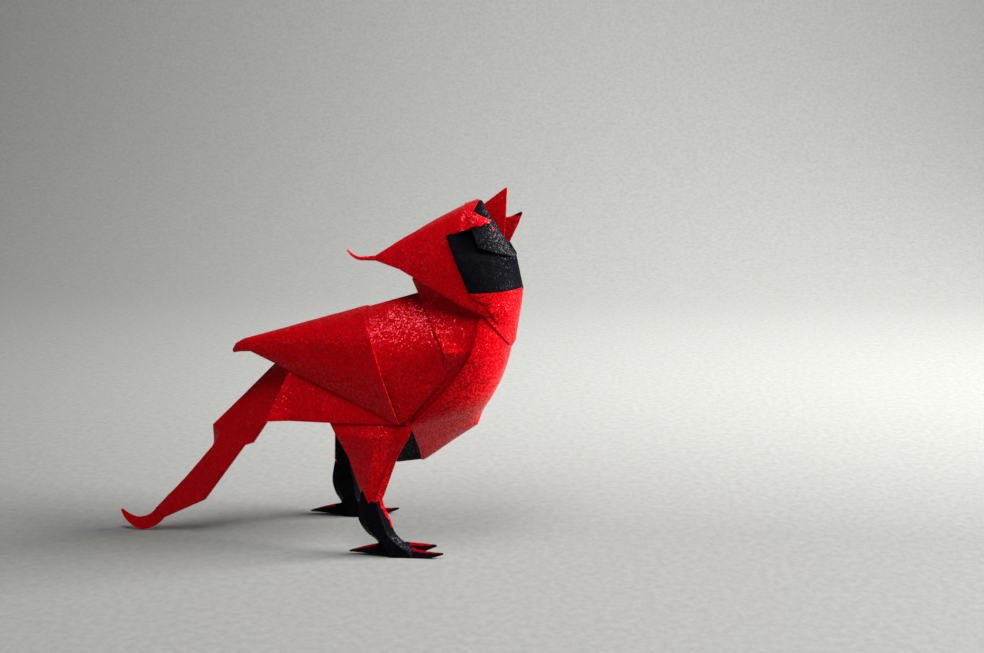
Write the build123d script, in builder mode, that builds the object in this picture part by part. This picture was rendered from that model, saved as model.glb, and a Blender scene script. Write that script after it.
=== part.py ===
from build123d import *
from math import hypot
import os

# A bird folded from one square sheet of paper. All sizes are in mm.
# X runs from tail to breast, Y from the near side to the far side, Z up from the floor.
# Points are (x, z) in the side view, and slopes are directions in the side view.
# An arch lists how far the paper has run along its rib and how far out of the centre plane it is.

# Sheet: thickness of one ply and how many plies lie on each other in each flap
ply = 0.12
breast_plies = 3
beak_plies = 3
hood_plies = 4
wing_plies = 4
belly_plies = 4
skirt_plies = 5
thigh_plies = 5
tail_plies = 8
layer_overlap = 0.1

# Stance: how far the hips and the feet are from the centre plane, and how far one foot leads
hip_out = 16.8
foot_out = 19.0
stride = 22.0

# Back and wing behind the pleat, from the wing tip forward
wing_rear_ribs = [
    ((-31.0, 73.4), (0.5, -1.0), [(0, 0), (0.5, 0.5), (1.1, 0.8)]),
    ((-29.6, 75.9), (2.1, -2.9), [(0, 0), (0.8, 1.0), (1.8, 1.5), (3.4, 1.8)]),
    ((-26.6, 77.7), (3.2, -4.2), [(0, 0), (0.9, 1.4), (2.4, 2.4), (5.2, 3.0)]),
]
pleat_rib = ((20.4, 91.3), (12.6, -37.8), [(0, 0), (3.5, 8.5), (9, 14), (20, 17.6), (42.3, 18.6)])
pleat_step = 0.3
shoulder_rib = ((44.0, 98.0), (11.0, -36.0), [(0, 0), (6, 5), (14, 12), (22, 16), (38, 18)])
wing_front_cut = [(51.2, 79.0), (51.5, 68.8), (36.1, 50.9), (36.1, 44.0), (64.0, 44.0), (64.0, 79.0)]

# Side of the neck, from under the hood down to the hip
neck_ribs = [
    ((44.0, 110.0), [(0, 0), (7, 5.5), (16, 7.6)]),
    ((37.3, 101.2), [(0, 0), (9, 6.6), (24.5, 9.6)]),
    ((40.0, 96.0), [(0, 2.6), (9, 7.8), (23, 10.4)]),
    ((43.7, 90.0), [(0, 8.0), (8.5, 10.6), (22, 11.2)]),
    ((47.0, 84.0), [(0, 13.1), (6.5, 13.8), (16.5, 13.2)]),
    ((50.3, 78.0), [(0, 16.9), (4, 16.5), (11, 14.9)]),
    ((51.0, 70.0), [(0, 15.8), (4, 15.9), (9, 15.4)]),
    ((36.5, 52.0), [(0, 16.8), (4, 17.0), (8, 16.6)]),
]

# Breast, from inside the throat down to the fold, and on from there to the end of the keel
breast_ribs = [
    ((78.1, 98.0), [(0, 0), (5.3, 7.4), (9, 9.4), (14, 10.8)]),
    ((76.0, 91.0), [(0, 0), (2.2, 6), (7.5, 10.4), (13, 11.9)]),
    ((74.6, 78.0), [(0, 0), (2.2, 7), (7.7, 13), (14.3, 16.6)]),
    ((71.4, 66.0), [(0, 0), (2.4, 8.5), (9.4, 15.5), (19, 18.4)]),
    ((67.6, 58.0), [(0, 0), (2.6, 9), (10.6, 16.5), (22.3, 18.9)]),
    ((63.4, 51.0), [(0, 0), (2.6, 6.4), (11.4, 13.0), (25.4, 19)]),
]
keel_ribs = [
    ((61.4, 45.6), [(0, 0), (6, 5.6), (13, 9.8), (22.5, 14.5)]),
    ((50.9, 38.2), [(0, 0), (3.5, 3.2), (7, 5.5), (11, 7.4)]),
    ((41.4, 31.2), [(0, 0), (0.4, 0.5), (0.8, 0.8), (1.2, 1)]),
]
band_lift = 0.5
band_outline = [
    (60.0, 98.0), (68.3, 93.0), (71.3, 88.4), (77.6, 79.0),
    (77.0, 76.4), (74.8, 76.9), (70.7, 83.3), (65.0, 90.3), (58.0, 94.0),
]

# Throat and mask, from the throat point up to the crown
mask_ribs = [
    ((75.6, 78.3), [(0, 0), (0.8, 3.4), (2.2, 6.2)]),
    ((77.1, 88.0), [(0, 0), (3, 7.0), (8, 11.3)]),
    ((77.8, 92.0), [(0, 0), (3.6, 7.2), (11, 12.4)]),
    ((78.4, 98.9), [(0, 0), (5.5, 7.8), (19.3, 13.0)]),
    ((75.8, 110.5), [(0, 1.7), (8, 8.6), (21.2, 13.0)]),
    ((70.1, 119.6), [(0, 2.2), (7.5, 7.8), (19.3, 10.8)]),
    ((68.9, 121.6), [(0, 2.2), (6.5, 7.2), (12.4, 9.4)]),
    ((66.4, 125.5), [(0, 2.0), (5, 5.2), (9.5, 5.5)]),
    ((63.1, 130.6), [(0, 1.6), (1.2, 2.0), (2.6, 2.2)]),
]
eye_from = 4
eye_flap_lift = 0.6
eye_flap_outline = [(59.8, 121.7), (62.1, 115.7), (76.4, 110.2), (71.4, 118.5), (67.3, 124.6), (60.5, 126.0)]
eye_lift = 1.0
eye_outline = [(60.2, 121.6), (62.4, 116.1), (66.2, 117.3), (67.8, 119.9), (67.0, 123.4), (60.6, 124.4)]

# Hood, from the root of the crest forward to the brow, and the curl that ends the crest
crest_root_rib = ((24.0, 110.0), (0.4, -2.0), [(0, 0), (0.8, 0.6), (1.9, 0.9)])
hood_ribs = [
    ((34.5, 116.7), (-0.9, -10.6), [(0, 0), (2.5, 3.2), (6, 4.6), (10.6, 5.6)]),
    ((46.9, 124.0), (-1.7, -23.2), [(0, 0), (2.2, 5.2), (8, 8.8), (23.3, 10.8)]),
    ((56.0, 128.8), (-0.5, -33.6), [(0, 0), (2, 6.3), (7, 10.0), (18, 11.4), (33.6, 12.8)]),
    ((62.0, 130.8), (3.0, -40.4), [(0, 0), (2, 5.6), (7, 9.4), (18, 11.2), (40.5, 12.6)]),
    ((70.0, 130.8), (3.0, -40.4), [(0, 0), (2, 2.8), (7, 4.8), (18, 8.5), (40.5, 12)]),
]
brow_cut = [
    (62.6, 134.0), (59.9, 128.1), (67.1, 124.0), (52.6, 119.8), (60.4, 99.0),
    (66.5, 91.3), (66.5, 85.0), (84.0, 85.0), (84.0, 134.0),
]
curl_ribs = [
    ((20.6, 109.7), (0.3, -1.6), [(0, 0), (0.7, 0.5), (1.5, 0.7)]),
    ((17.6, 109.6), (-0.1, -1.3), [(0, 0), (0.6, 0.45), (1.2, 0.6)]),
    ((15.2, 110.9), (-0.5, -1.0), [(0, 0), (0.4, 0.35), (0.9, 0.5)]),
    ((13.9, 112.3), (-0.5, -0.5), [(0, 0), (0.2, 0.22), (0.5, 0.35)]),
]
curl_thickness = 0.22

# Beak, from inside the head to the two tips
upper_beak_ribs = [
    ((62.8, 128.6), (8.5, -13.0), [(0, 0), (15.5, 3.2)]),
    ((68.4, 132.9), (3.4, -8.6), [(0, 0), (9.2, 2.6)]),
    ((72.0, 135.6), (0.2, -0.8), [(0, 0), (0.8, 0.5)]),
]
lower_beak_ribs = [
    ((78.1, 97.5), (-12.0, 20.0), [(0, 0), (23, 1.6)]),
    ((73.0, 115.0), (-4.6, 9.0), [(0, 0), (10, 1.4)]),
    ((76.2, 121.9), (-2.7, 2.8), [(0, 0), (3.9, 1.2)]),
    ((77.9, 126.1), (-0.3, 0.6), [(0, 0), (0.7, 0.5)]),
]

# Skirt under the wing, from its flared rear corner forward to the hip
skirt_ribs = [
    ((-6.8, 70.8), (-9.0, -20.2), [(0, 7.55), (4.5, 6.8), (22.1, 16.5)]),
    ((-5.6, 70.8), (-1.8, -20.5), [(0, 7.9), (4.5, 7.1), (20.6, 14.3)]),
    ((10.4, 66.0), (-1.4, -15.6), [(0, 12.3), (5.5, 11.2), (15.6, 16.3)]),
    ((34.0, 58.0), (0.5, -7.5), [(0, 17.65), (3, 17.1), (7.5, 17.3)]),
]

# Belly between the legs
belly_ribs = [
    ((40.8, 31.2), [(0, 0), (9, 8), (19, 17.6)]),
    ((30.5, 29.9), [(0, 0), (9, 8), (20, 16.8)]),
    ((23.0, 36.0), [(0, 0), (6, 8), (13.5, 16.2)]),
]

# Tail, from inside the body down to the bend, and the curled end that lies on the floor
tail_ribs = [
    ((-3.2, 78.0), (0.754, -0.657), [(-3, -8.7), (0, 0), (4, 8.7)]),
    ((-12.4, 67.4), (0.754, -0.657), [(-2.5, -4), (0, 0), (5.5, 4.5)]),
    ((-25.5, 52.3), (0.754, -0.657), [(-3.9, -4), (0, 0), (9.5, 4.5)]),
    ((-41.4, 42.2), (17.7, -4.1), [(0, -4), (6.05, 0), (18.2, 4.5)]),
    ((-42.2, 33.2), (15.2, 3.8), [(1.5, -2.5), (0, 0), (15.7, 4)]),
    ((-52.4, 21.5), (0.754, -0.657), [(1.5, -2), (0, 0), (11.3, 3.5)]),
    ((-64.5, 8.9), (4.1, -2.9), [(1, -1.5), (0, 0), (5, 2.2)]),
]
tail_end_ribs = [
    ((-68.2, 5.5), (2.0, -4.2), [(0.8, -1.2), (0, 0), (4.6, 1.8)]),
    ((-71.8, 4.8), (1.0, -4.3), [(0.8, -1.2), (0, 0), (4.5, 1.6)]),
    ((-75.8, 6.5), (-0.2, -2.8), [(0.5, -0.8), (0, 0), (2.9, 1.0)]),
]
tail_tip_rib = ((-77.9, 8.3), (-0.6, -0.8), [(0.2, -0.3), (0, 0), (0.7, 0.4)])
tail_tip_thickness = 0.3

# Legs. Places along X are for the leg in front. The share says how much of the stride the
# trailing leg has swung back at that height. A thigh starts under the skirt, and from there its
# arch is measured from the line that runs from the hip out to the knee.
knee_share = 0.73
thigh_root_rib = ((7.0, 54.5), [(0, 13.1), (15, 15.2), (28, 16.6), (28.2, 16.8), (30, 16.8)])
thigh_ribs = [
    ((8.0, 50.1), 0.1, [(0, -1.6), (15, -0.8), (28.5, -0.2), (28.7, 0.2), (30.7, 0.2)]),
    ((10.2, 46.0), 0.3, [(0, -1.1), (13, 1.5), (25, 0.1), (25.2, 0.6), (27.3, 0.6)]),
    ((14.8, 37.7), 0.5, [(0, -1.1), (9, 1.6), (15.8, -0.1), (16, 0.4), (18.2, 0.4)]),
    ((19.2, 24.0), knee_share, [(0, -1.2), (2.2, 1.9), (6.2, 1.9), (6.4, 2.4), (9, 1.2)]),
    ((21.0, 20.8), knee_share, [(0, -0.4), (1.6, 2.1), (4.0, 2.1), (4.2, 2.6), (5.8, 1.4)]),
]
shank_rows = [
    (26.5, knee_share, 23.6, 3.4, 1.4),
    (20.0, knee_share, 23.2, 4.7, 1.8),
    (14.0, 0.75, 24.3, 6.0, 2.2),
    (9.0, 0.82, 26.5, 5.4, 2.4),
    (5.0, 0.92, 30.6, 5.2, 2.7),
    (1.6, 1.0, 33.6, 7.2, 2.6),
    (0.0, 1.0, 34.0, 8.0, 2.8),
]
toe_root_row = (31.0, 0.0, 0.2, 2.4, 5.4)
toe_rows = [
    [(20.3, 0.0, 1.0, 1.0, 2.4), (14.6, 0.0, 1.1, 0.3, 0.5)],
    [(44.4, 1.8, 0.2, 1.2, 2.3), (50.0, 2.6, 1.8, 0.4, 0.6)],
    [(41.5, -1.6, 1.1, 1.2, 3.2), (47.1, -2.4, 2.8, 0.4, 0.6)],
]

# Directions in the side view, and the number of flat facets across a bent rib
forward = (1, 0)
backward = (-1, 0)
upward = (0, 1)
facets_across = 8


def moved_in(profile, depth):
    """The line of a rib moved to its inner side. An end on the centre plane stays on it."""
    normals = []
    for (along_a, out_a), (along_b, out_b) in zip(profile, profile[1:]):
        size = hypot(along_b - along_a, out_b - out_a)
        normals.append(((out_b - out_a) / size, (along_a - along_b) / size))
    first, last = normals[0], normals[-1]
    inner = []
    for (along, out), before, after in zip(profile, [first] + normals, normals + [last]):
        spread = 1 + before[0] * after[0] + before[1] * after[1]
        shift_along = depth * (before[0] + after[0]) / spread
        shift_out = depth * (before[1] + after[1]) / spread
        inner.append((along + shift_along, out + shift_out))
    if profile[0][1] == 0:
        inner[0] = (profile[0][0] + depth / first[0], 0)
    return inner


def rib(start, slope, arch, thickness, lift=0.0, crisp=False):
    """One cross-section of a layer, in the plane across the bird through start along slope."""
    plane = Plane(
        origin=(start[0], 0, start[1]),
        x_dir=(slope[0], 0, slope[1]),
        z_dir=(slope[1], 0, -slope[0]),
    )
    outer = moved_in(arch, -lift)
    return plane, outer, moved_in(outer, thickness), crisp


def level_ribs(rows, slope, thickness, lift=0.0):
    """Cross-sections of a layer in level or upright planes that all run the same way."""
    return [rib(start, slope, arch, thickness, lift) for start, arch in rows]


def sloped_ribs(rows, thickness, crisp=False):
    """Cross-sections of a layer in planes that each have their own slope."""
    return [rib(start, slope, arch, thickness, crisp=crisp) for start, slope, arch in rows]


def creases(points, crisp):
    """Where a rib bends: at its own points, or at even steps along the smooth line through them."""
    if crisp or len(points) == 2:
        return points
    bend = Spline(*points)
    return [bend @ (step / facets_across) for step in range(facets_across + 1)]


def facet_pair(corners):
    """Two flat facets of paper that meet along a fold from the first corner to the third."""
    first, second, third, fourth = corners
    return [Face(Wire.make_polygon([first, second, third])), Face(Wire.make_polygon([first, third, fourth]))]


def layer(ribs):
    """A layer of paper through its ribs, flat between its creases, with its rims and its two ends."""
    outside, inside = [], []
    for plane, outer, inner, crisp in ribs:
        outside.append([plane.from_local_coords(point) for point in creases(outer, crisp)])
        inside.append([plane.from_local_coords(point) for point in creases(inner, crisp)])
    facets = [Face(Wire.make_polygon(outside[end] + inside[end][::-1])) for end in (0, -1)]
    for row in range(len(ribs) - 1):
        for rim in (0, -1):
            low_out, high_out = outside[row][rim], outside[row + 1][rim]
            low_in, high_in = inside[row][rim], inside[row + 1][rim]
            facets += facet_pair([low_out, high_out, high_in, low_in])
        for step in range(len(outside[row]) - 1):
            patches = [
                [side[row][step], side[row][step + 1], side[row + 1][step + 1], side[row + 1][step]]
                for side in (outside, inside)
            ]
            first, second, third, fourth = patches[0]
            turn = 0 if (first - third).length < (second - fourth).length else 1
            for corners in patches:
                facets += facet_pair(corners[turn:] + corners[:turn])
    return Solid(Shell(facets))


def curled_layer(ribs):
    """A layer of paper that is rolled into a smooth curl through its ribs."""
    with BuildPart() as paper:
        for plane, outer, inner, crisp in ribs:
            with BuildSketch(plane):
                with BuildLine():
                    for points in (outer, inner):
                        if crisp:
                            Polyline(*points)
                        else:
                            Spline(*points)
                    Line(outer[0], inner[0])
                    Line(outer[-1], inner[-1])
                make_face()
        loft()
    return paper.part


def trimmed(paper, outline, mode):
    """The layer cut away by, or kept inside, an outline drawn in the side view. The cut goes
    through the bird well past its feet."""
    with BuildPart() as kept:
        add(paper)
        with BuildSketch(Plane.XZ):
            with BuildLine():
                Polyline(*outline, close=True)
            make_face()
        extrude(amount=2 * foot_out, both=True, mode=mode)
    return kept.part


def leg(trail):
    """The flaps of a leg on the near side whose foot trails behind by the given distance."""
    root, root_arch = thigh_root_rib
    ribs = [rib(root, forward, root_arch, thigh_plies * ply, crisp=True)]
    for (x, z), share, arch in thigh_ribs:
        side = hip_out + (foot_out - hip_out) * share / knee_share
        raised = [(along, side + out) for along, out in arch]
        ribs.append(rib((x - share * trail, z), forward, raised, thigh_plies * ply, crisp=True))
    thigh = layer(ribs)
    with BuildPart() as shank:
        for height, share, middle, half_length, half_width in shank_rows:
            with BuildSketch(Plane(origin=(middle - share * trail, -foot_out, height))):
                with BuildLine():
                    Polyline(
                        (half_length, 0),
                        (half_length / 2, half_width),
                        (-half_length / 2, half_width),
                        (-half_length, 0),
                        (-half_length / 2, -half_width),
                        (half_length / 2, -half_width),
                        close=True,
                    )
                make_face()
        loft(ruled=True)
    toes = []
    for rows in toe_rows:
        with BuildPart() as toe:
            for x, out, low, half_width, rise in [toe_root_row] + rows:
                place = (x - trail, -foot_out - out, low)
                with BuildSketch(Plane(origin=place, x_dir=(0, -1, 0), z_dir=(-1, 0, 0))):
                    with BuildLine():
                        Polyline((-half_width, 0), (half_width, 0), (0, rise), close=True)
                    make_face()
            loft(ruled=True)
        toes.append(toe.part)
    return [thigh, shank.part] + toes


# Back and wing in two layers that step at the pleat
wing = wing_plies * ply
wing_rear = layer(sloped_ribs(wing_rear_ribs + [pleat_rib], wing))
wing_front = layer([rib(*pleat_rib, wing, -pleat_step), rib(*shoulder_rib, wing, -pleat_step)])
wing_front = trimmed(wing_front, wing_front_cut, Mode.SUBTRACT)

# Neck, breast and the narrow band where the breast comes out from under the throat
breast = breast_plies * ply
neck_side = layer(level_ribs(neck_ribs, forward, breast))
breast_upper = layer(level_ribs(breast_ribs, backward, breast))
breast_lower = layer(level_ribs(breast_ribs[-1:] + keel_ribs, backward, breast))
band = layer(level_ribs(breast_ribs, backward, band_lift + layer_overlap, band_lift))
band = trimmed(band, band_outline, Mode.INTERSECT)

# Head: mask, the two layers round the eye, hood with brow, crest and beak
mask = layer(level_ribs(mask_ribs, backward, breast))
eye_ribs = mask_ribs[eye_from:]
eye_flap = layer(level_ribs(eye_ribs, backward, eye_flap_lift + layer_overlap, eye_flap_lift))
eye_flap = trimmed(eye_flap, eye_flap_outline, Mode.INTERSECT)
eye = layer(level_ribs(eye_ribs, backward, eye_lift - layer_overlap, eye_lift))
eye = trimmed(eye, eye_outline, Mode.INTERSECT)
crest_root = rib(*crest_root_rib, hood_plies * ply)
hood = layer([crest_root] + sloped_ribs(hood_ribs, hood_plies * ply))
hood = trimmed(hood, brow_cut, Mode.SUBTRACT)
curl = curled_layer([crest_root] + sloped_ribs(curl_ribs, curl_thickness))
upper_beak = layer(sloped_ribs(upper_beak_ribs, beak_plies * ply))
lower_beak = layer(sloped_ribs(lower_beak_ribs, beak_plies * ply))

# Skirt, belly and tail
skirt = layer(sloped_ribs(skirt_ribs, skirt_plies * ply, crisp=True))
belly = layer(level_ribs(belly_ribs, upward, belly_plies * ply))
tail_sections = sloped_ribs(tail_ribs, tail_plies * ply, crisp=True)
tail_end_sections = sloped_ribs(tail_end_ribs, tail_plies * ply, crisp=True)
tail_tip = rib(*tail_tip_rib, tail_tip_thickness, crisp=True)
tail_upper = layer(tail_sections)
tail_end = curled_layer(tail_sections[-1:] + tail_end_sections + [tail_tip])

# Legs: the near one steps forward, the far one trails
near_leg = leg(0.0)
far_leg = [mirror(flap, about=Plane.XZ) for flap in leg(stride)]

# The whole folded sheet
with BuildPart() as folded_bird:
    add([wing_rear, wing_front, neck_side, breast_upper, breast_lower, band])
    add([mask, eye_flap, eye, hood, curl, upper_beak, lower_beak, skirt, belly])
    mirror(about=Plane.XZ)
    add([tail_upper, tail_end] + near_leg + far_leg)
folded_bird.part.label = "folded_bird"

os.makedirs("parts", exist_ok=True)
export_step(folded_bird.part, "parts/folded_bird.step")
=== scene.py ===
import bmesh
import bpy
from math import cos, hypot, radians, sin
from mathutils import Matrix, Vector, noise


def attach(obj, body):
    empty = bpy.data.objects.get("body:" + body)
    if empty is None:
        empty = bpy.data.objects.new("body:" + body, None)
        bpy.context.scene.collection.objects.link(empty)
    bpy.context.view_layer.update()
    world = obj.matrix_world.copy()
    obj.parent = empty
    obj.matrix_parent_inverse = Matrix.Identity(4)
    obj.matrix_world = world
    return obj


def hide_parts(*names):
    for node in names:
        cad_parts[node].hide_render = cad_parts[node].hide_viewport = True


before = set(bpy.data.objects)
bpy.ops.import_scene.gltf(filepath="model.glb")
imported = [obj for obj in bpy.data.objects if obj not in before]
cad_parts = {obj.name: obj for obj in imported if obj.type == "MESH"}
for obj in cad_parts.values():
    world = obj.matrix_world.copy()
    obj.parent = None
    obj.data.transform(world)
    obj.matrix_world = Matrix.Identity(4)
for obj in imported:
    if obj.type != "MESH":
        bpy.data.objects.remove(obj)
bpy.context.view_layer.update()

# A bird folded from one square of paper, red on one side and black on the other.
# Lengths are in mm until a flap is joined to the bird's mesh, which is in metres as the frame is.
mm = 0.001

# Thickness of one ply and how many plies lie on each other in each flap
ply = 0.12
breast_plies = 3
brow_plies = 2
beak_plies = 3
hood_plies = 4
wing_plies = 4
belly_plies = 4
skirt_plies = 5
thigh_plies = 5
tail_plies = 8

# Stance: how far hips and feet are from the centre plane, and how far one foot trails
hip_out = 16.8
foot_out = 19.0
stride = 22.0

# Directions of a rib in the side view
forward = (1, 0)
backward = (-1, 0)
upward = (0, 1)

# A rib is a start (x, z), a slope in the side view, and an arch of
# (how far along the slope, how far out of the centre plane) points.

# Back and wing behind the pleat, from the wing tip forward
wing_rear_ribs = [
    ((-31.0, 73.4), (0.5, -1.0), [(0, 0), (0.5, 0.5), (1.1, 0.8)]),
    ((-29.6, 75.9), (2.1, -2.9), [(0, 0), (0.8, 1.0), (1.8, 1.5), (3.4, 1.8)]),
    ((-26.6, 77.7), (3.2, -4.2), [(0, 0), (0.9, 1.4), (2.4, 2.4), (5.2, 3.0)]),
    ((20.4, 91.3), (12.6, -37.8), [(0, 0), (3.5, 8.5), (9, 14), (20, 17.6), (42.3, 18.6)]),
]

# Wing before the pleat, from its tuck under the pleat to the shoulder
pleat_step = 0.6
wing_front_ribs = [
    ((17.6, 90.4), (12.6, -37.8), [(0, 0), (3.2, 7.6), (8.6, 13.1), (17, 16.2), (27, 16.8), (39, 17.3)]),
    ((20.4, 91.3), (12.6, -37.8), [(0, 0), (3.5, 8.5), (9, 14.0), (18, 17.4), (29, 17.7), (42.3, 18.2)]),
    ((44.0, 98.0), (11.0, -36.0), [(0, 0), (6, 5), (14, 12.2), (21, 16.0), (28, 16.6), (38, 17.4)]),
]
wing_front_cut = [(51.2, 79.0), (51.5, 68.8), (36.1, 50.9), (36.1, 44.0), (64.0, 44.0), (64.0, 79.0)]

# Side of the neck, from under the hood down to the hip
neck_ribs = [
    ((44.0, 110.0), forward, [(0, 0), (7, 4.8), (16, 6.8)]),
    ((37.3, 101.2), forward, [(0, 0), (9, 5.8), (24.5, 9.0)]),
    ((40.0, 96.0), forward, [(0, 2.6), (9, 7.2), (23, 10.1)]),
    ((43.7, 90.0), forward, [(0, 8.5), (8.5, 10.6), (22, 11.2)]),
    ((47.0, 84.0), forward, [(0, 13.8), (6.5, 13.8), (16.5, 13.2)]),
    ((50.3, 78.0), forward, [(0, 17.5), (4, 16.6), (11, 14.9)]),
    ((51.0, 70.0), forward, [(0, 15.8), (4, 15.9), (9, 15.4)]),
    ((36.5, 52.0), forward, [(0, 16.8), (4, 17.0), (8, 16.6)]),
]

# Breast down to its fold, the keel on from there, and the band across the breast
breast_ribs = [
    ((78.1, 98.0), backward, [(0, 0), (5.3, 7.4), (9, 9.4), (14, 10.8)]),
    ((76.0, 91.0), backward, [(0, 0), (2.2, 6), (7.5, 10.4), (13, 11.9)]),
    ((74.6, 78.0), backward, [(0, 0), (2.2, 7), (7.7, 13), (14.3, 16.6)]),
    ((71.4, 66.0), backward, [(0, 0), (2.4, 8.5), (9.4, 15.5), (19, 18.4)]),
    ((67.6, 58.0), backward, [(0, 0), (2.6, 9), (10.6, 16.5), (22.3, 18.9)]),
    ((63.4, 51.0), backward, [(0, 0), (2.6, 6.4), (11.4, 13.0), (25.4, 19)]),
]
keel_ribs = [
    ((61.4, 45.6), backward, [(0, 0), (6, 5.6), (13, 9.8), (22.5, 14.5)]),
    ((50.9, 38.2), backward, [(0, 0), (3.5, 3.2), (7, 5.5), (11, 7.4)]),
    ((41.4, 31.2), backward, [(0, 0), (0.4, 0.5), (0.8, 0.8), (1.2, 1)]),
]
band_lift = 0.5
band_outline = [
    (60.0, 98.0), (68.3, 93.0), (71.3, 88.4), (77.6, 79.0),
    (77.0, 76.4), (74.8, 76.9), (70.7, 83.3), (65.0, 90.3), (58.0, 94.0),
]

# Throat and mask up to the crown. The red side shows below the mask's base.
mask_ribs = [
    ((75.6, 78.3), backward, [(0, 0), (0.8, 3.4), (2.2, 6.2)]),
    ((77.1, 88.0), backward, [(0, 0), (3, 7.0), (8, 11.3)]),
    ((77.8, 92.0), backward, [(0, 0), (3.6, 7.2), (11, 12.4)]),
    ((78.4, 98.9), backward, [(0, 0), (5.5, 7.8), (19.3, 13.0)]),
    ((75.8, 110.5), backward, [(0, 1.7), (8, 8.6), (21.2, 13.0)]),
    ((70.1, 119.6), backward, [(0, 2.2), (7.5, 7.8), (19.3, 10.8)]),
    ((68.9, 121.6), backward, [(0, 2.2), (6.5, 7.2), (12.4, 9.4)]),
    ((66.4, 125.5), backward, [(0, 2.0), (5, 5.2), (9.5, 5.5)]),
    ((63.1, 130.6), backward, [(0, 1.6), (1.2, 2.0), (2.6, 2.2)]),
]
mask_base = 98.9

# Eye flap, eye and fleck, on the mask's ribs from one rib up, and the facet of the throat below
eye_from = 4
eye_flap_lift = 0.6
eye_flap_outline = [(59.8, 121.7), (62.1, 115.7), (76.4, 110.2), (71.4, 118.5), (67.3, 124.6), (60.5, 126.0)]
eye_hinge = [(67.3, 124.6), (76.4, 110.2)]
eye_slope = 0.12
eye_lift = 1.3
eye_outline = [(60.2, 121.6), (62.4, 116.1), (66.2, 117.3), (67.8, 119.9), (67.0, 123.4), (60.6, 124.4)]
fleck_lift = 1.5
fleck_outline = [(67.0, 122.2), (67.6, 122.0), (67.7, 120.9), (67.2, 121.0)]
throat_lift = 0.3
throat_outline = [(58.6, 98.6), (68.1, 98.6), (67.2, 93.6)]

# Hood from the crest forward, and the brow's layers on it
hood_ribs = [
    ((24.0, 110.0), (0.4, -2.0), [(0, 0), (0.8, 0.6), (1.9, 0.9)]),
    ((34.5, 116.7), (-0.9, -10.6), [(0, 0), (2.5, 3.0), (6, 4.6), (10.6, 6.4)]),
    ((46.9, 124.0), (-1.7, -23.2), [(0, 0), (2.2, 4.8), (8, 8.2), (23.3, 11.8)]),
    ((56.0, 128.8), (-0.5, -33.6), [(0, 0), (2, 6.0), (7, 9.6), (18, 11.4), (33.6, 13.6)]),
    ((62.0, 130.8), (3.0, -40.4), [(0, 0), (2, 5.6), (7, 9.4), (18, 11.2), (40.5, 12.6)]),
    ((70.0, 130.8), (3.0, -40.4), [(0, 0), (2, 2.8), (7, 4.8), (18, 8.5), (40.5, 12)]),
]
brow_cut = [
    (62.6, 134.0), (59.9, 128.1), (67.1, 124.0), (52.6, 119.8), (60.4, 99.0),
    (66.5, 91.3), (66.5, 85.0), (84.0, 85.0), (84.0, 134.0),
]
brow_lift = 0.4
brow_slope = 0.08
brow_hinge = [(56.8, 130.0), (62.6, 132.6)]
brow_outline = [
    (56.4, 131.0), (57.4, 127.9), (52.0, 119.6), (60.0, 122.6),
    (67.3, 124.5), (60.4, 127.9), (62.8, 132.6),
]
brow_tip_lift = 0.7
brow_tip_outline = [(58.0, 127.6), (67.3, 124.6), (59.8, 122.6)]

# Curled end of the crest
curl_ribs = [
    ((24.0, 110.0), (0.4, -2.0), [(0, 0), (0.8, 0.6), (1.9, 0.9)]),
    ((20.6, 109.7), (0.3, -1.6), [(0, 0), (0.7, 0.5), (1.5, 0.7)]),
    ((17.6, 109.6), (-0.1, -1.3), [(0, 0), (0.6, 0.45), (1.2, 0.6)]),
    ((15.2, 110.9), (-0.5, -1.0), [(0, 0), (0.4, 0.35), (0.9, 0.5)]),
    ((13.9, 112.3), (-0.5, -0.5), [(0, 0), (0.2, 0.22), (0.5, 0.35)]),
]
curl_thickness = 0.22

# Open beak. The black side shows above the height of the lower beak's tip.
upper_beak_ribs = [
    ((62.8, 128.6), (8.5, -13.0), [(0, 0), (15.5, 3.2)]),
    ((68.4, 132.9), (3.4, -8.6), [(0, 0), (9.2, 2.6)]),
    ((72.0, 135.6), (0.2, -0.8), [(0, 0), (0.8, 0.5)]),
]
lower_beak_ribs = [
    ((78.1, 97.5), (-12.0, 20.0), [(0, 0), (23, 1.6)]),
    ((73.0, 115.0), (-4.6, 9.0), [(0, 0), (10, 1.4)]),
    ((76.2, 121.9), (-2.7, 2.8), [(0, 0), (3.9, 1.2)]),
    ((77.9, 126.1), (-0.3, 0.6), [(0, 0), (0.7, 0.5)]),
]
beak_tip = 125.3

# Skirt over the hips, and the black belly between the legs
skirt_ribs = [
    ((-6.8, 70.8), (-9.0, -20.2), [(0, 7.55), (4.5, 6.8), (22.1, 16.5)]),
    ((-5.6, 70.8), (-1.8, -20.5), [(0, 7.9), (4.5, 7.1), (20.6, 14.3)]),
    ((10.4, 66.0), (-1.4, -15.6), [(0, 12.3), (5.5, 11.2), (15.6, 16.3)]),
    ((34.0, 58.0), (0.5, -7.5), [(0, 17.65), (3, 17.1), (7.5, 17.3)]),
]
belly_ribs = [
    ((40.8, 31.2), upward, [(0, 0), (9, 8), (19, 17.6)]),
    ((30.5, 29.9), upward, [(0, 0), (9, 8), (20, 16.8)]),
    ((23.0, 36.0), upward, [(0, 0), (6, 8), (13.5, 16.2)]),
]

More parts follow.
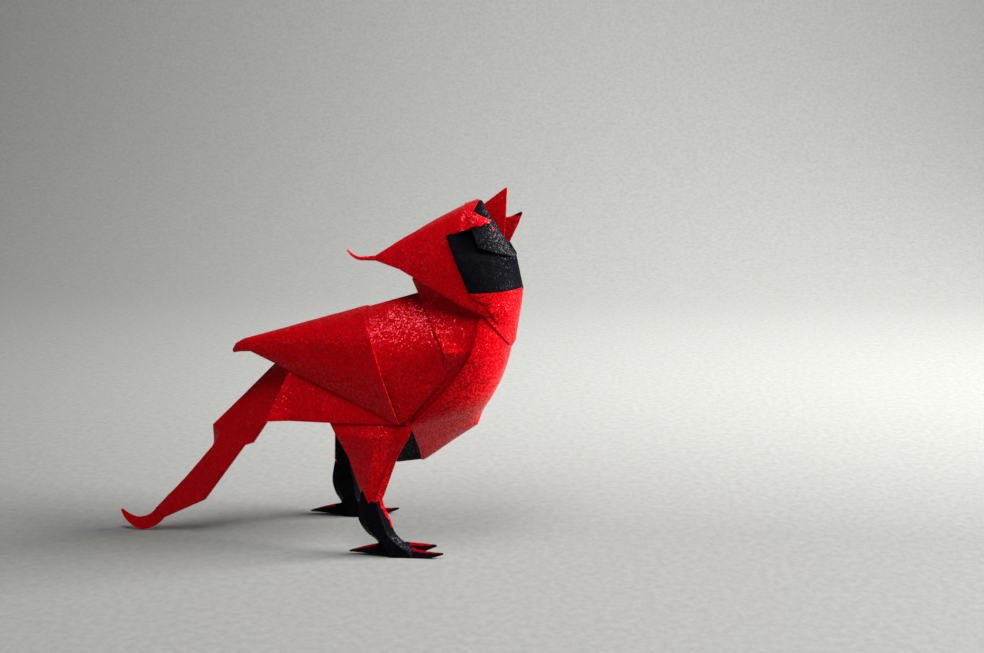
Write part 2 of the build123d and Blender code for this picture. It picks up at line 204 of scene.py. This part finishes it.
# Tail from its root down, and its end, which thins out and curls up
tail_ribs = [
    ((-3.2, 78.0), (0.754, -0.657), [(-3, -8.7), (0, 0), (4, 8.7)]),
    ((-12.4, 67.4), (0.754, -0.657), [(-2.5, -4), (0, 0), (5.5, 4.5)]),
    ((-25.5, 52.3), (0.754, -0.657), [(-3.9, -4), (0, 0), (9.5, 4.5)]),
    ((-41.4, 42.2), (17.7, -4.1), [(0, -4), (6.05, 0), (18.2, 4.5)]),
    ((-42.2, 33.2), (15.2, 3.8), [(1.5, -2.5), (0, 0), (15.7, 4)]),
    ((-52.4, 21.5), (0.754, -0.657), [(1.5, -2), (0, 0), (11.3, 3.5)]),
    ((-64.5, 8.9), (4.1, -2.9), [(1, -1.5), (0, 0), (5, 2.2)]),
]
tail_end_ribs = [
    ((-64.5, 8.9), (4.1, -2.9), [(1, -1.5), (0, 0), (5, 2.2)]),
    ((-68.2, 5.5), (2.0, -4.2), [(0.8, -1.2), (0, 0), (4.6, 1.8)]),
    ((-71.8, 4.8), (1.0, -4.3), [(0.8, -1.2), (0, 0), (4.5, 1.6)]),
    ((-75.8, 6.5), (-0.2, -2.8), [(0.5, -0.8), (0, 0), (2.9, 1.0)]),
    ((-77.9, 8.3), (-0.6, -0.8), [(0.2, -0.3), (0, 0), (0.7, 0.4)]),
]
tail_tip_thickness = 0.3

# Legs. A share says how much of the stride a place trails by on the leg that stands back.
# Shank rows are height, share, middle, half length and half width.
# Toe rows are x, out, low, half width and rise.
knee_share = 0.73
thigh_root_rib = ((7.0, 54.5), [(0, 13.1), (15, 15.2), (28, 16.6), (28.2, 16.8), (30, 16.8)])
thigh_ribs = [
    ((8.0, 50.1), 0.1, [(0, -1.6), (15, -0.8), (28.5, -0.2), (28.7, 0.2), (30.7, 0.2)]),
    ((10.2, 46.0), 0.3, [(0, -1.1), (13, 1.5), (25, 0.1), (25.2, 0.6), (27.3, 0.6)]),
    ((14.8, 37.7), 0.5, [(0, -1.1), (9, 1.6), (15.8, -0.1), (16, 0.4), (18.2, 0.4)]),
    ((19.2, 24.0), knee_share, [(0, -1.2), (2.2, 1.9), (6.2, 1.9), (6.4, 2.4), (9, 1.2)]),
    ((21.0, 20.8), knee_share, [(0, -0.4), (1.6, 2.1), (4.0, 2.1), (4.2, 2.6), (5.8, 1.4)]),
]
hem_cut = [
    (15.0, 23.9), (19.4, 23.4), (20.6, 22.0), (21.4, 22.6), (22.4, 20.9), (23.4, 22.2), (25.0, 21.4),
    (26.2, 22.3), (28.2, 21.5), (32.0, 21.5), (32.0, 15.0), (15.0, 15.0),
]
shank_corners = [(1, 0), (0.5, 1), (-0.5, 1), (-1, 0), (-0.5, -1), (0.5, -1)]
shank_rows = [
    (26.5, knee_share, 23.6, 3.4, 1.4),
    (20.0, knee_share, 23.2, 4.7, 1.8),
    (14.0, 0.75, 24.3, 6.0, 2.2),
    (9.0, 0.82, 26.5, 5.4, 2.4),
    (5.0, 0.92, 30.6, 5.2, 2.7),
    (1.6, 1.0, 33.6, 7.2, 2.6),
    (0.0, 1.0, 34.0, 8.0, 2.8),
]
toe_root_row = (31.0, 0.0, 0.2, 2.4, 5.4)
toe_rows = [
    [(20.3, 0.0, 1.0, 1.0, 2.4), (14.6, 0.0, 1.1, 0.3, 0.5)],
    [(44.4, 1.8, 0.2, 1.2, 2.3), (50.0, 2.6, 1.8, 0.4, 0.6)],
    [(41.5, -1.6, 1.1, 1.2, 3.2), (47.1, -2.4, 2.8, 0.4, 0.6)],
]

# Red strips where the other side of the paper shows, as corners and shares of the length of a tube
shank_strips = [(5.45, 6.0, 0.0, 0.24), (5.65, 6.0, 0.24, 0.36), (5.8, 6.0, 0.36, 0.48)]
toe_strips = [(1.7, 2.3, 0.4, 0.93)]

# How finely the flaps are meshed along and across their ribs, and the tubes round and along
cell = 1.3
wing_columns = 30
neck_columns = 16
breast_columns = 22
keel_columns = 18
mask_columns = 18
hood_columns = 24
curl_columns = 6
beak_columns = 8
skirt_columns = 6
belly_columns = 12
tail_columns = 6
thigh_columns = 5
shank_steps = 6
toe_steps = 4
tail_end_steps = 3
tube_rows = 4

# How deep and how long the unevenness of hand folding is, with a finer share in it
crumple_depth = 0.10
crumple_length = 7.0
fine_length = 2.8
fine_share = 0.35

# Rounding of a flap's edges as a share of its thickness, and the angle from which a fold is sharp
edge_round = 0.4
fold_angle = 28

# Points closer than these are one point: on a cut or seam, on the centre plane, and along a line
snap = 1e-4
centre_snap = 1e-3
tiny = 1e-9

# Material slots of the one mesh
red_side, black_side = 0, 1


def smooth_through(points, steps):
    """Places spread evenly along a smooth line through the points."""
    if len(points) == 2:
        return [points[0].lerp(points[1], i / steps) for i in range(steps + 1)]
    knots = [0.0]
    for a, b in zip(points, points[1:]):
        knots.append(knots[-1] + max((b - a).length, tiny))
    chords = [(b - a) / (t - s) for a, b, s, t in zip(points, points[1:], knots, knots[1:])]
    tangents = []
    for i in range(1, len(points) - 1):
        before, after = knots[i] - knots[i - 1], knots[i + 1] - knots[i]
        tangents.append((chords[i - 1] * after + chords[i] * before) / (before + after))
    tangents = [chords[0] * 2 - tangents[0]] + tangents + [chords[-1] * 2 - tangents[-1]]
    places = []
    for i in range(steps + 1):
        at = knots[-1] * i / steps
        k = max(n for n in range(len(knots) - 1) if knots[n] <= at + tiny)
        span = knots[k + 1] - knots[k]
        t = (at - knots[k]) / span
        places.append(
            points[k] * (2 * t ** 3 - 3 * t ** 2 + 1)
            + tangents[k] * (span * (t ** 3 - 2 * t ** 2 + t))
            + points[k + 1] * (3 * t ** 2 - 2 * t ** 3)
            + tangents[k + 1] * (span * (t ** 3 - t ** 2))
        )
    return places


def crisp_through(points, steps):
    """Places along straight stretches between the points, with the same steps to each stretch."""
    places = [points[0]]
    for a, b in zip(points, points[1:]):
        places += [a.lerp(b, i / steps) for i in range(1, steps + 1)]
    return places


def rib_points(start, slope, arch):
    """The points of a rib in the frame, still in mm. The near side is at negative Y."""
    size = hypot(*slope)
    return [
        Vector((start[0] + along * slope[0] / size, -out, start[1] + along * slope[1] / size))
        for along, out in arch
    ]


def paper_grid(ribs, columns, crisp_ribs=False, crisp_across=True):
    """A sheet through the ribs. Crisp ribs fold at each of their points, other ribs are bent round."""
    lines = []
    for start, slope, arch in ribs:
        points = rib_points(start, slope, arch)
        lines.append(crisp_through(points, columns) if crisp_ribs else smooth_through(points, columns))
    count = len(lines[0]) - 1
    longest = max((a - b).length for one, two in zip(lines, lines[1:]) for a, b in zip(one, two))
    steps = max(2, round(longest / cell))
    strands = []
    for column in range(count + 1):
        strand = [line[column] for line in lines]
        if crisp_across or len(strand) == 2:
            strands.append(crisp_through(strand, steps))
        else:
            strands.append(smooth_through(strand, steps * (len(strand) - 1)))
    rows = len(strands[0]) - 1
    sheet = bmesh.new()
    bmesh.ops.create_grid(sheet, x_segments=rows, y_segments=count, size=0.5)
    for vert in sheet.verts:
        row = round((vert.co.x + 0.5) * rows)
        column = round((vert.co.y + 0.5) * count)
        vert.co = strands[column][row]
    return sheet


def face_outwards(sheet):
    """Turns the near half of a flap so that its faces look out to the near side."""
    sheet.normal_update()
    if sum(face.normal.y * face.calc_area() for face in sheet.faces) > 0:
        bmesh.ops.reverse_faces(sheet, faces=sheet.faces[:])


def within(outline, x, z):
    """True where a point of the side view lies inside an outline."""
    crossings = 0
    for (ax, az), (bx, bz) in zip(outline, outline[1:] + outline[:1]):
        if (az > z) != (bz > z) and x < ax + (bx - ax) * (z - az) / (bz - az):
            crossings += 1
    return crossings % 2 == 1


def cut_lines(sheet, outline):
    """Cuts new edges into a sheet along each side of an outline drawn in the side view."""
    for (ax, az), (bx, bz) in zip(outline, outline[1:] + outline[:1]):
        geometry = sheet.verts[:] + sheet.edges[:] + sheet.faces[:]
        normal = Vector((bz - az, 0, ax - bx)).normalized()
        bmesh.ops.bisect_plane(sheet, geom=geometry, dist=snap, plane_co=(ax, 0, az), plane_no=normal)


def trim(sheet, outline, keep_inside):
    """Cuts a sheet along an outline and removes what lies outside or inside of it."""
    cut_lines(sheet, outline)
    gone = []
    for face in sheet.faces:
        middle = face.calc_center_median()
        if within(outline, middle.x, middle.z) != keep_inside:
            gone.append(face)
    bmesh.ops.delete(sheet, geom=gone, context="FACES")


def lift_off(sheet, height, hinge, slope):
    """Moves a flap out along its own normals, as a layer that lies on another.

    A hinge of two points in the side view lets the flap stand off more with its distance from that fold.
    """
    sheet.normal_update()
    moves = [(vert, vert.normal.copy()) for vert in sheet.verts]
    for vert, normal in moves:
        away = 0.0
        if hinge:
            (ax, az), (bx, bz) = hinge
            away = abs((bx - ax) * (vert.co.z - az) - (bz - az) * (vert.co.x - ax)) / hypot(bx - ax, bz - az)
        vert.co += normal * (height + slope * away)


def crumple(sheet):
    """Gives the paper the slight unevenness of hand folding, the same in all layers at one place."""
    sheet.normal_update()
    moves = [(vert, vert.normal.copy()) for vert in sheet.verts if not vert.is_boundary]
    for vert, normal in moves:
        broad = noise.noise(vert.co / crumple_length)
        fine = noise.noise(vert.co / fine_length)
        vert.co += normal * crumple_depth * (broad + fine_share * fine)


def to_far_side(sheet):
    """Turns a flap of the near side into one of the far side."""
    for vert in sheet.verts:
        vert.co.y = -vert.co.y
    bmesh.ops.reverse_faces(sheet, faces=sheet.faces[:])


def add_far_half(sheet):
    """Adds the far half of a flap and joins the two along the centre plane."""
    result = bmesh.ops.duplicate(sheet, geom=sheet.verts[:] + sheet.edges[:] + sheet.faces[:])
    far = [item for item in result["geom"] if isinstance(item, bmesh.types.BMFace)]
    for vert in {vert for face in far for vert in face.verts}:
        vert.co.y = -vert.co.y
    bmesh.ops.reverse_faces(sheet, faces=far)
    middle = [vert for vert in sheet.verts if abs(vert.co.y) < centre_snap]
    bmesh.ops.remove_doubles(sheet, verts=middle, dist=centre_snap)


def thicken(sheet, thickness, inside):
    """Gives a flap its thickness inwards, the paper's other side there, and round folded edges."""
    front = set(sheet.verts)
    bmesh.ops.solidify(sheet, geom=sheet.faces[:], thickness=thickness)
    rims = []
    for face in sheet.faces:
        shared = sum(vert in front for vert in face.verts)
        if shared == 0:
            face.material_index = inside
        elif shared < len(face.verts):
            rims.append(face)
    around = {
        edge for face in rims for edge in face.edges
        if any(other not in rims for other in edge.link_faces)
    }
    bmesh.ops.bevel(sheet, geom=list(around), offset=thickness * edge_round, offset_type="OFFSET", segments=2,
                    profile=0.5, affect="EDGES", material=-1, clamp_overlap=True)


bird = bmesh.new()


def add_to_bird(sheet):
    """Joins a finished flap to the bird's one mesh, in metres."""
    bmesh.ops.scale(sheet, vec=(mm, mm, mm), verts=sheet.verts[:])
    piece = bpy.data.meshes.new("flap")
    sheet.to_mesh(piece)
    bird.from_mesh(piece)
    sheet.free()
    bpy.data.meshes.remove(piece)


def flap(ribs, columns, plies, outside=red_side, inside=black_side, lift=0.0, hinge=None, slope=0.0, cut=None,
         keep=None, crisp_ribs=False, crisp_across=True, both_sides=True, base=None, tip=None):
    """One flap of the sheet, from its ribs to a finished thickness.

    Below the height of a base the red side shows, and above the height of a tip the black side does.
    """
    sheet = paper_grid(ribs, columns, crisp_ribs, crisp_across)
    face_outwards(sheet)
    if lift:
        lift_off(sheet, lift, hinge, slope)
    if cut:
        trim(sheet, cut, keep_inside=False)
    if keep:
        trim(sheet, keep, keep_inside=True)
    for height in (base, tip):
        if height:
            cut_lines(sheet, [(0, height), (1, height)])
    for face in sheet.faces:
        face.material_index = outside
        if base and face.calc_center_median().z < base:
            face.material_index = red_side
        if tip and face.calc_center_median().z > tip:
            face.material_index = black_side
    if both_sides:
        add_far_half(sheet)
    crumple(sheet)
    thicken(sheet, plies * ply, inside)
    add_to_bird(sheet)


def tube(sections, steps, outside, strips=()):
    """A closed paper tube through sections of corner points, bent smoothly along its length.

    A strip shows the paper's red side. It lies between two corners and between two shares of the length.
    """
    loops = [crisp_through(points + points[:1], steps) for points in sections]
    count = len(loops[0]) - 1
    strands = [smooth_through([loop[column] for loop in loops], tube_rows * (len(loops) - 1))
               for column in range(count + 1)]
    rows = len(strands[0]) - 1
    sheet = bmesh.new()
    bmesh.ops.create_grid(sheet, x_segments=rows, y_segments=count, size=0.5)
    for face in sheet.faces:
        middle = face.calc_center_median()
        corner = (middle.y + 0.5) * len(sections[0])
        share = middle.x + 0.5
        face.material_index = outside
        for first, last, begin, end in strips:
            if first < corner < last and begin < share < end:
                face.material_index = red_side
    for vert in sheet.verts:
        row = round((vert.co.x + 0.5) * rows)
        column = round((vert.co.y + 0.5) * count)
        vert.co = strands[column][row]
        vert.co.z = max(vert.co.z, 0.0)
    bmesh.ops.remove_doubles(sheet, verts=sheet.verts[:], dist=snap)
    ends = bmesh.ops.holes_fill(sheet, edges=[edge for edge in sheet.edges if edge.is_boundary], sides=0)
    for face in ends["faces"]:
        face.material_index = outside
    bmesh.ops.recalc_face_normals(sheet, faces=sheet.faces[:])
    return sheet


def leg(trail, far):
    """One leg: thigh flap, shank and toes. The foot trails behind by the given distance."""
    root, root_arch = thigh_root_rib
    ribs = [(root, forward, root_arch)]
    for (x, z), share, arch in thigh_ribs:
        side = hip_out + (foot_out - hip_out) * share / knee_share
        ribs.append(((x - share * trail, z), forward, [(along, side + out) for along, out in arch]))
    thigh = paper_grid(ribs, thigh_columns, crisp_ribs=True)
    trim(thigh, [(x - knee_share * trail, z) for x, z in hem_cut], keep_inside=False)
    face_outwards(thigh)
    crumple(thigh)
    thicken(thigh, thigh_plies * ply, black_side)
    shank = tube([
        [
            Vector((middle - share * trail + half_length * along, -foot_out + half_width * across, height))
            for along, across in shank_corners
        ]
        for height, share, middle, half_length, half_width in shank_rows
    ], shank_steps, black_side, shank_strips)
    sheets = [thigh, shank]
    for rows in toe_rows:
        sheets.append(tube([
            [
                Vector((x - trail, -foot_out - out - half_width, low)),
                Vector((x - trail, -foot_out - out + half_width, low)),
                Vector((x - trail, -foot_out - out, low + rise)),
            ]
            for x, out, low, half_width, rise in [toe_root_row] + rows
        ], toe_steps, black_side, toe_strips))
    for sheet in sheets:
        if far:
            to_far_side(sheet)
        add_to_bird(sheet)


# The flaps of the sheet
flap(wing_rear_ribs, wing_columns, wing_plies)
flap(wing_front_ribs, wing_columns, wing_plies, lift=-pleat_step, cut=wing_front_cut)
flap(neck_ribs, neck_columns, breast_plies)
flap(breast_ribs, breast_columns, breast_plies, crisp_across=False)
flap(breast_ribs[-1:] + keel_ribs, keel_columns, breast_plies)
flap(breast_ribs, breast_columns, breast_plies, lift=band_lift, keep=band_outline, crisp_across=False)
flap(mask_ribs, mask_columns, breast_plies, outside=black_side, inside=red_side, base=mask_base)
eye_ribs = mask_ribs[eye_from:]
flap(eye_ribs, mask_columns, breast_plies, outside=black_side, lift=eye_flap_lift, hinge=eye_hinge,
     slope=eye_slope, keep=eye_flap_outline)
flap(eye_ribs, mask_columns, breast_plies, outside=black_side, lift=eye_lift, hinge=eye_hinge,
     slope=eye_slope, keep=eye_outline)
flap(eye_ribs, mask_columns, brow_plies, lift=fleck_lift, hinge=eye_hinge, slope=eye_slope,
     keep=fleck_outline)
flap(mask_ribs[:eye_from], mask_columns, brow_plies, lift=throat_lift, keep=throat_outline)
flap(hood_ribs, hood_columns, hood_plies, cut=brow_cut)
flap(hood_ribs, hood_columns, brow_plies, lift=brow_lift, hinge=brow_hinge, slope=brow_slope,
     keep=brow_outline)
flap(hood_ribs, hood_columns, brow_plies, lift=brow_tip_lift, hinge=brow_hinge, slope=brow_slope,
     keep=brow_tip_outline)
flap(curl_ribs, curl_columns, curl_thickness / ply, crisp_across=False)
flap(upper_beak_ribs, beak_columns, beak_plies, inside=red_side)
flap(lower_beak_ribs, beak_columns, beak_plies, inside=red_side, tip=beak_tip)
flap(skirt_ribs, skirt_columns, skirt_plies, crisp_ribs=True)
flap(belly_ribs, belly_columns, belly_plies, outside=black_side)
flap(tail_ribs, tail_columns, tail_plies, inside=red_side, crisp_ribs=True, both_sides=False)
tail_end = []
for i, (start, slope, arch) in enumerate(tail_end_ribs):
    share = i / (len(tail_end_ribs) - 1)
    thickness = tail_plies * ply * (1 - share) + tail_tip_thickness * share
    points = rib_points(start, slope, arch)
    tail_end.append(points + [point + Vector((0, thickness, 0)) for point in reversed(points)])
add_to_bird(tube(tail_end, tail_end_steps, red_side))
leg(0.0, far=False)
leg(stride, far=True)


def colour(code):
    """Linear colour of an sRGB hex value."""
    values = [int(code[i:i + 2], 16) / 255 for i in (0, 2, 4)]
    return [v / 12.92 if v <= 0.04045 else ((v + 0.055) / 1.055) ** 2.4 for v in values] + [1.0]


def add_node(tree, kind, settings=None, links=None):
    """Adds a node. Settings and links go by an input's name or number, or by the name of a property."""
    node = tree.nodes.new(kind)
    for name, value in (settings or {}).items():
        if isinstance(name, int) or name in node.inputs:
            node.inputs[name].default_value = value
        else:
            setattr(node, name, value)
    for name, socket in (links or {}).items():
        tree.links.new(socket, node.inputs[name])
    return node


# Colour sockets of the Mix node, whose names are the same for each kind of value
mix_first, mix_second, mix_result = 6, 7, 2

# Real sizes of the paper's blotches, its grain and the grain's depth. The flat fibres are drawn
# at the width at which single ones show in the render.
blotch_size = 5 * mm
grain_size = 0.7 * mm
grain_depth = 0.2 * mm
fibre_width = 0.4 * mm

# Random draws at which a fibre begins to glint and glints fully, the middle of such fibres' draws,
# and the sheen of a dull fibre as a share of a bright one's
glint_from, glint_full = 0.66, 0.8
middle_draw = (0.8, 0.5, 0.5)
dull_share = 0.08
paper_ior = 1.8


def paper_material(name, deep, bright, shine, roughness, glint, unevenness):
    """Hand-made paper: mottled colour, a fine grain, and flat silky fibres that glint one by one."""
    material = bpy.data.materials.new(name)
    material.use_nodes = True
    tree = material.node_tree
    tree.nodes.clear()
    place = add_node(tree, "ShaderNodeTexCoord").outputs["Object"]
    blotches = add_node(
        tree, "ShaderNodeTexNoise", {"Scale": 1 / blotch_size, "Detail": 5.0, "Roughness": 0.65},
        {"Vector": place})
    grain = add_node(
        tree, "ShaderNodeTexNoise", {"Scale": 1 / grain_size, "Detail": 3.0, "Roughness": 0.6},
        {"Vector": place})
    bump = add_node(
        tree, "ShaderNodeBump", {"Strength": 0.25, "Distance": grain_depth}, {"Height": grain.outputs["Fac"]})
    fibres = add_node(
        tree, "ShaderNodeTexVoronoi", {"Scale": 1 / fibre_width, "Randomness": 1.0}, {"Vector": place})
    draws = add_node(tree, "ShaderNodeSeparateColor", links={"Color": fibres.outputs["Color"]})
    sheen = add_node(
        tree, "ShaderNodeMapRange",
        {"From Min": glint_from, "From Max": glint_full, "To Min": dull_share * glint, "To Max": glint},
        {"Value": draws.outputs["Red"]})
    tone = add_node(
        tree, "ShaderNodeMix", {"data_type": "RGBA", mix_first: colour(deep), mix_second: colour(bright)},
        {"Factor": blotches.outputs["Fac"]})
    lean = add_node(
        tree, "ShaderNodeVectorMath", {"operation": "SUBTRACT", 1: middle_draw}, {0: fibres.outputs["Color"]})
    tilt = add_node(
        tree, "ShaderNodeVectorMath", {"operation": "SCALE", "Scale": unevenness},
        {0: lean.outputs["Vector"]})
    turned = add_node(
        tree, "ShaderNodeVectorMath", {"operation": "ADD"},
        {0: bump.outputs["Normal"], 1: tilt.outputs["Vector"]})
    facing = add_node(tree, "ShaderNodeVectorMath", {"operation": "NORMALIZE"}, {0: turned.outputs["Vector"]})
    shader = add_node(
        tree, "ShaderNodeBsdfPrincipled",
        {"Roughness": roughness, "IOR": paper_ior, "Specular Tint": colour(shine)},
        {
            "Base Color": tone.outputs[mix_result],
            "Normal": facing.outputs["Vector"],
            "Specular IOR Level": sheen.outputs["Result"],
        })
    add_node(tree, "ShaderNodeOutputMaterial", links={"Surface": shader.outputs["BSDF"]})
    return material


mesh = bpy.data.meshes.new("folded_bird_paper")
bird.to_mesh(mesh)
bird.free()
# Red side: dyed hand-made paper, matt, with silky fibres that sparkle pink where it turns to the light
mesh.materials.append(paper_material(
    "red_handmade_paper", deep="B80008", bright="E80014", shine="FF5A70", roughness=0.28, glint=0.8,
    unevenness=0.5))
# Black side: the same sheet dyed charcoal black, matt, with a few pale glints at its edges
mesh.materials.append(paper_material(
    "black_handmade_paper", deep="0B0B0E", bright="15151A", shine="C8C8D8", roughness=0.24, glint=0.035,
    unevenness=0.3))
for polygon in mesh.polygons:
    polygon.use_smooth = True
mesh.set_sharp_from_angle(angle=radians(fold_angle))
paper = bpy.data.objects.new("folded_bird_paper", mesh)
bpy.context.collection.objects.link(paper)
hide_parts("folded_bird")
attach(paper, "root")

# Pale floor that sweeps up behind, in metres
floor_half, sweep_start, sweep_radius, sweep_steps = 4.0, 0.40, 0.50, 24
floor_mesh = bpy.data.meshes.new("floor")
sweep = bmesh.new()
bmesh.ops.create_grid(sweep, x_segments=1, y_segments=sweep_steps + 2, size=0.5)
for vert in sweep.verts:
    step = round((vert.co.y + 0.5) * (sweep_steps + 2))
    turn = radians(90) * min(max(step - 1, 0), sweep_steps) / sweep_steps
    vert.co.x *= 2 * floor_half
    vert.co.y = sweep_start + sweep_radius * sin(turn)
    vert.co.z = sweep_radius * (1 - cos(turn))
    if step == 0:
        vert.co.y = -floor_half
    if step == sweep_steps + 2:
        vert.co.z = floor_half
bmesh.ops.recalc_face_normals(sweep, faces=sweep.faces[:])
for face in sweep.faces:
    face.smooth = True
sweep.to_mesh(floor_mesh)
sweep.free()
floor = bpy.data.objects.new("floor", floor_mesh)
bpy.context.collection.objects.link(floor)

# Heavy backdrop paper, pale grey and matt, with a soft mottle from its pulp
mottle_size = 3 * mm
backdrop = bpy.data.materials.new("pale_grey_backdrop_paper")
backdrop.use_nodes = True
tree = backdrop.node_tree
tree.nodes.clear()
place = add_node(tree, "ShaderNodeTexCoord").outputs["Object"]
mottle = add_node(
    tree, "ShaderNodeTexNoise", {"Scale": 1 / mottle_size, "Detail": 4.0, "Roughness": 0.7},
    {"Vector": place})
tone = add_node(
    tree, "ShaderNodeMix", {"data_type": "RGBA", mix_first: colour("7C7C78"), mix_second: colour("9C9C9A")},
    {"Factor": mottle.outputs["Fac"]})
shader = add_node(
    tree, "ShaderNodeBsdfPrincipled", {"Roughness": 0.9, "Specular IOR Level": 0.1},
    {"Base Color": tone.outputs[mix_result]})
add_node(tree, "ShaderNodeOutputMaterial", links={"Surface": shader.outputs["BSDF"]})
floor_mesh.materials.append(backdrop)

# Camera at the photograph's angle, its focal length measured in the photograph's pixels
elevation, azimuth, distance = radians(14.2), radians(3.3), 480.0 * mm
aim = Vector((66.85, 0, 83.7)) * mm
focal_length_px, photo_width_px = 1296, 984
sensor_width = 36.0
nearest = 10 * mm
level = Vector((-sin(azimuth), cos(azimuth), 0))
ahead = level * cos(elevation) - Vector((0, 0, sin(elevation)))
camera_data = bpy.data.cameras.new("camera")
camera_data.sensor_width = sensor_width
camera_data.lens = sensor_width * focal_length_px / photo_width_px
camera_data.clip_start = nearest
camera = bpy.data.objects.new("camera", camera_data)
camera.location = aim - ahead * distance
camera.rotation_euler = ahead.to_track_quat("-Z", "Y").to_euler()
bpy.context.collection.objects.link(camera)
bpy.context.scene.camera = camera


def soft_light(name, place, aimed_at, size, power, spread):
    """A soft lamp that looks at a place, with its light kept within a spread in degrees."""
    data = bpy.data.lights.new(name, "AREA")
    data.size = size
    data.energy = power
    data.spread = radians(spread)
    lamp = bpy.data.objects.new(name, data)
    lamp.location = place
    lamp.rotation_euler = (Vector(aimed_at) - Vector(place)).to_track_quat("-Z", "Y").to_euler()
    bpy.context.collection.objects.link(lamp)


# Lamps in metres: a window on the right, a weak one on the left, a lamp above, and one for the backdrop
bird_middle = (0, 0, 0.07)
backdrop_middle = (0.30, 1.0, 0.40)
all_round = 180
soft_light("window", (0.95, 0.05, 0.56), bird_middle, size=0.45, power=9.4, spread=100)
soft_light("ceiling", (0.03, -0.09, 0.42), bird_middle, size=0.16, power=0.95, spread=all_round)
soft_light("left_window", (-0.40, -0.32, 0.40), bird_middle, size=0.20, power=0.14, spread=all_round)
soft_light("backdrop_light", (0.30, 0.10, 0.55), backdrop_middle, size=0.6, power=11.0, spread=all_round)
world_strength = 0.01
world = bpy.data.worlds.new("studio")
world.use_nodes = True
sky = world.node_tree.nodes["Background"]
sky.inputs["Color"].default_value = (1, 1, 1, 1)
sky.inputs["Strength"].default_value = world_strength
bpy.context.scene.world = world
bpy.context.scene.view_settings.view_transform = "Standard"
